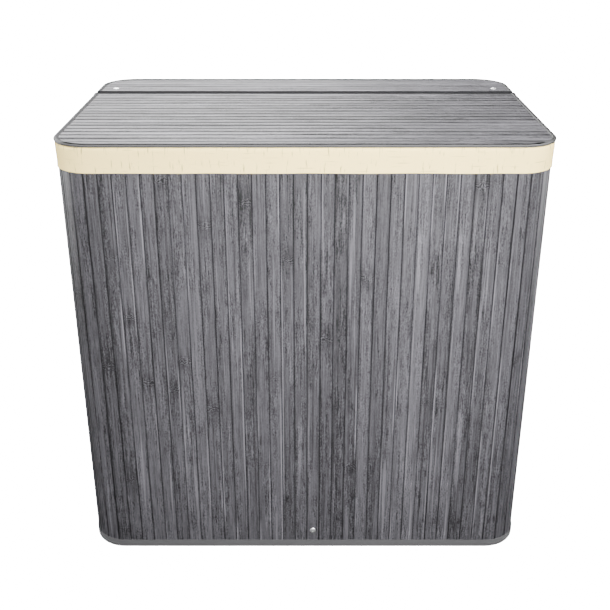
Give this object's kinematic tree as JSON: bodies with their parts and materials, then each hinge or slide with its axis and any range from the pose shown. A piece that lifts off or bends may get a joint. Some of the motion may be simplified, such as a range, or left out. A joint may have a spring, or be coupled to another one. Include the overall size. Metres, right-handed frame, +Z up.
{
  "type": "laundry hamper with lid",
  "caption": "Laundry hamper of slats on cloth with rounded corners, a removable cotton liner with a turned-over cuff, and a lid whose front flap folds up.",
  "frame": {"origin": "on the floor under the middle of the lid's outline", "axes": "+X to the right seen from the front, -Y towards the front, +Z up"},
  "size_m": [0.614, 0.4, 0.5918],
  "materials": {
    "bamboo": "grey stained, matte",
    "board": "raw fibreboard",
    "steel": "nickel plated",
    "liner_cloth": "cotton and linen weave",
    "tape": "woven cotton tape",
    "backing_cloth": "plain woven backing cloth"
  },
  "bodies": {
    "basket": {"front_slats": "bamboo", "front_right_corner_slats": "bamboo", "right_slats": "bamboo", "back_right_corner_slats": "bamboo", "back_slats": "bamboo", "back_left_corner_slats": "bamboo", "left_slats": "bamboo", "front_left_corner_slats": "bamboo", "wall_cloth": "backing_cloth", "back_seam_tape": "backing_cloth", "bottom_tape": "tape", "base_cloth": "backing_cloth", "base_board": "board", "base_tab": "backing_cloth", "base_hinge_strip": "backing_cloth", "front_rivet": "steel", "front_rivet_washer": "steel", "hoop_wire_left": "steel", "hoop_wire_right": "steel", "hoop_ferrule_front": "steel", "hoop_ferrule_back": "steel", "hoop_sleeve": "backing_cloth", "liner_bag": "liner_cloth", "liner_floor": "liner_cloth", "liner_cuff": "liner_cloth", "lid_strip_slats": "bamboo", "lid_strip_cloth": "backing_cloth", "lid_strip_board": "board", "lid_strip_lining": "backing_cloth", "lid_strip_tape": "tape", "lid_loop_left": "backing_cloth", "lid_loop_right": "backing_cloth", "lid_rivet_left": "steel", "lid_rivet_right": "steel", "lid_rivet_washer_left": "steel", "lid_rivet_washer_right": "steel"},
    "lid_flap": {"lid_flap_slats": "bamboo", "lid_flap_cloth": "backing_cloth", "lid_flap_board": "board", "lid_flap_lining": "backing_cloth", "lid_flap_tape": "tape"}
  },
  "joints": [
    {"name": "lid_hinge", "type": "hinge", "parent": "basket", "child": "lid_flap", "pos_m": [0, 0.099, 0.589], "axis": [-1, 0, 0], "range_deg": [0, 140]}
  ]
}
